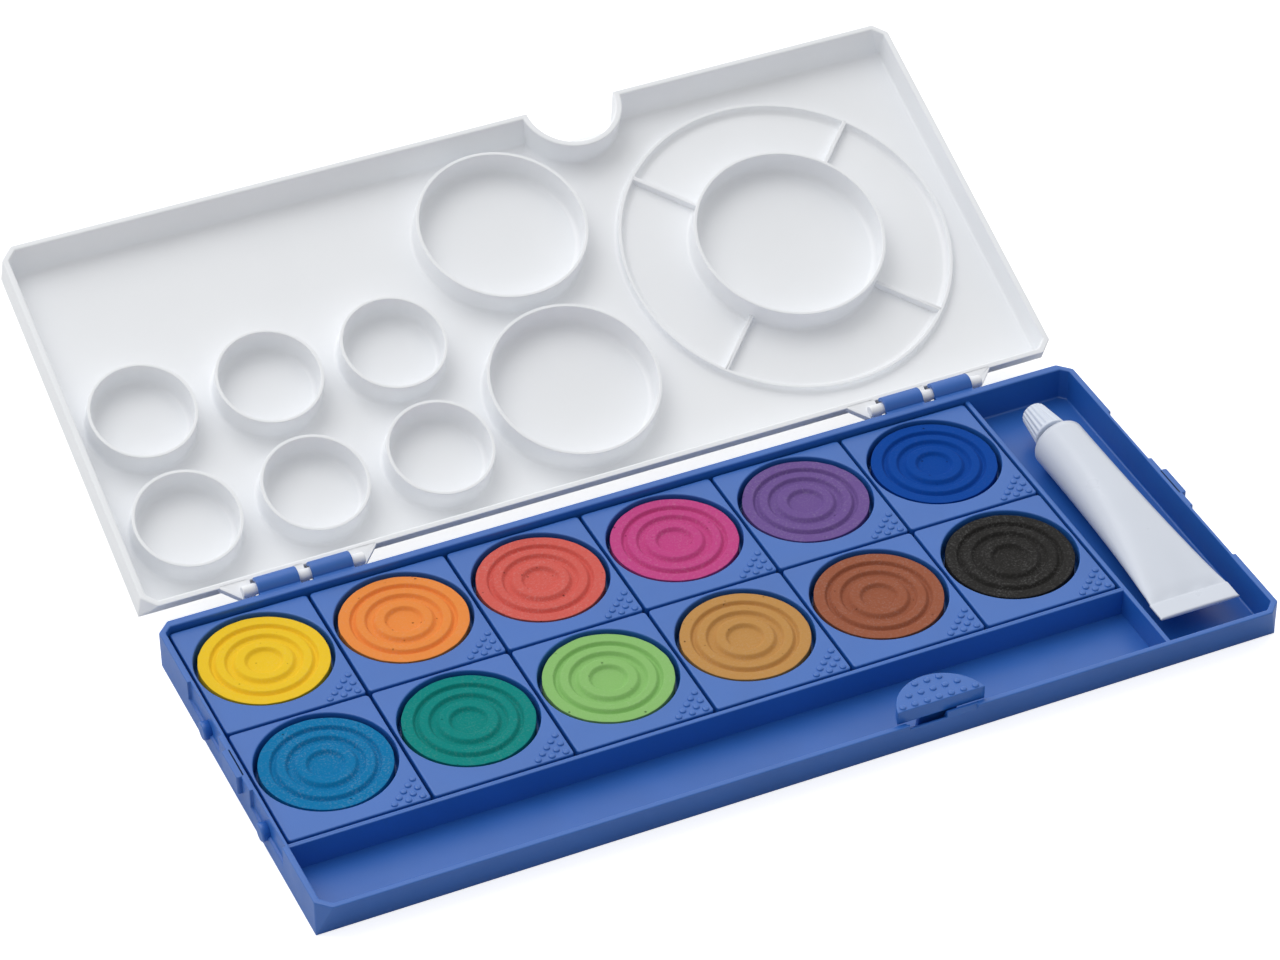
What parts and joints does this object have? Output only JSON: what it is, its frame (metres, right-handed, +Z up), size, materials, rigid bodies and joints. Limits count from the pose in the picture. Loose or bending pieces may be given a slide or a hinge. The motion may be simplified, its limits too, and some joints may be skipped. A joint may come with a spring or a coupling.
{
  "type": "paint box",
  "caption": "Shallow hinged paint box with lift-out pans of paint, a tube of white, a brush bay and a lid that is a mixing palette.",
  "frame": {"origin": "middle of the tray's underside, on the surface it stands on", "axes": "+Z up, +X along the box to the right, +Y from the brush bay towards the hinges"},
  "size_m": [0.2374, 0.2039, 0.0482],
  "materials": {
    "tray_plastic": "satin",
    "lid_plastic": "satin",
    "tube_lacquer": "satin",
    "cap_plastic": "satin",
    "paint_yellow": "matte",
    "paint_orange": "matte",
    "paint_vermilion": "matte",
    "paint_magenta": "matte",
    "paint_violet": "matte",
    "paint_ultramarine": "matte",
    "paint_cyan": "matte",
    "paint_blue_green": "matte",
    "paint_yellow_green": "matte",
    "paint_ochre": "matte",
    "paint_brown": "matte",
    "paint_black": "matte"
  },
  "bodies": {
    "tray": {"tray": "tray_plastic"},
    "lid": {"lid": "lid_plastic"},
    "latch": {"latch_tab": "tray_plastic"},
    "pan_yellow": {"pan_yellow": "tray_plastic", "tablet_yellow": "paint_yellow"},
    "pan_orange": {"pan_orange": "tray_plastic", "tablet_orange": "paint_orange"},
    "pan_vermilion": {"pan_vermilion": "tray_plastic", "tablet_vermilion": "paint_vermilion"},
    "pan_magenta": {"pan_magenta": "tray_plastic", "tablet_magenta": "paint_magenta"},
    "pan_violet": {"pan_violet": "tray_plastic", "tablet_violet": "paint_violet"},
    "pan_ultramarine": {"pan_ultramarine": "tray_plastic", "tablet_ultramarine": "paint_ultramarine"},
    "pan_cyan": {"pan_cyan": "tray_plastic", "tablet_cyan": "paint_cyan"},
    "pan_blue_green": {"pan_blue_green": "tray_plastic", "tablet_blue_green": "paint_blue_green"},
    "pan_yellow_green": {"pan_yellow_green": "tray_plastic", "tablet_yellow_green": "paint_yellow_green"},
    "pan_ochre": {"pan_ochre": "tray_plastic", "tablet_ochre": "paint_ochre"},
    "pan_brown": {"pan_brown": "tray_plastic", "tablet_brown": "paint_brown"},
    "pan_black": {"pan_black": "tray_plastic", "tablet_black": "paint_black"},
    "tube": {"tube_body": "tube_lacquer"},
    "cap": {"tube_cap": "cap_plastic"}
  },
  "joints": [
    {"name": "lid_hinge", "type": "hinge", "parent": "tray", "child": "lid", "pos_m": [0, 0.0541, 0.00914], "axis": [-1, 0, 0], "range_deg": [-157.8, 0]},
    {"name": "latch_press", "type": "hinge", "parent": "tray", "child": "latch", "pos_m": [0.0306, -0.0459, 0.0019], "axis": [-1, 0, 0], "range_deg": [0, 4], "stiffness_Nm_per_rad": 0.6},
    {"name": "lift_yellow", "type": "slide", "parent": "tray", "child": "pan_yellow", "axis": [0, 0, 1], "range_m": [0, 0.015]},
    {"name": "lift_orange", "type": "slide", "parent": "tray", "child": "pan_orange", "axis": [0, 0, 1], "range_m": [0, 0.015]},
    {"name": "lift_vermilion", "type": "slide", "parent": "tray", "child": "pan_vermilion", "axis": [0, 0, 1], "range_m": [0, 0.015]},
    {"name": "lift_magenta", "type": "slide", "parent": "tray", "child": "pan_magenta", "axis": [0, 0, 1], "range_m": [0, 0.015]},
    {"name": "lift_violet", "type": "slide", "parent": "tray", "child": "pan_violet", "axis": [0, 0, 1], "range_m": [0, 0.015]},
    {"name": "lift_ultramarine", "type": "slide", "parent": "tray", "child": "pan_ultramarine", "axis": [0, 0, 1], "range_m": [0, 0.015]},
    {"name": "lift_cyan", "type": "slide", "parent": "tray", "child": "pan_cyan", "axis": [0, 0, 1], "range_m": [0, 0.015]},
    {"name": "lift_blue_green", "type": "slide", "parent": "tray", "child": "pan_blue_green", "axis": [0, 0, 1], "range_m": [0, 0.015]},
    {"name": "lift_yellow_green", "type": "slide", "parent": "tray", "child": "pan_yellow_green", "axis": [0, 0, 1], "range_m": [0, 0.015]},
    {"name": "lift_ochre", "type": "slide", "parent": "tray", "child": "pan_ochre", "axis": [0, 0, 1], "range_m": [0, 0.015]},
    {"name": "lift_brown", "type": "slide", "parent": "tray", "child": "pan_brown", "axis": [0, 0, 1], "range_m": [0, 0.015]},
    {"name": "lift_black", "type": "slide", "parent": "tray", "child": "pan_black", "axis": [0, 0, 1], "range_m": [0, 0.015]},
    {"name": "lift_tube", "type": "slide", "parent": "tray", "child": "tube", "axis": [0, 0, 1], "range_m": [0, 0.02]},
    {"name": "cap_unscrew", "type": "hinge", "parent": "tube", "child": "cap", "pos_m": [0.1014, 0.0285, 0.008], "axis": [0, 1, 0], "range_deg": [0, 720]}
  ]
}
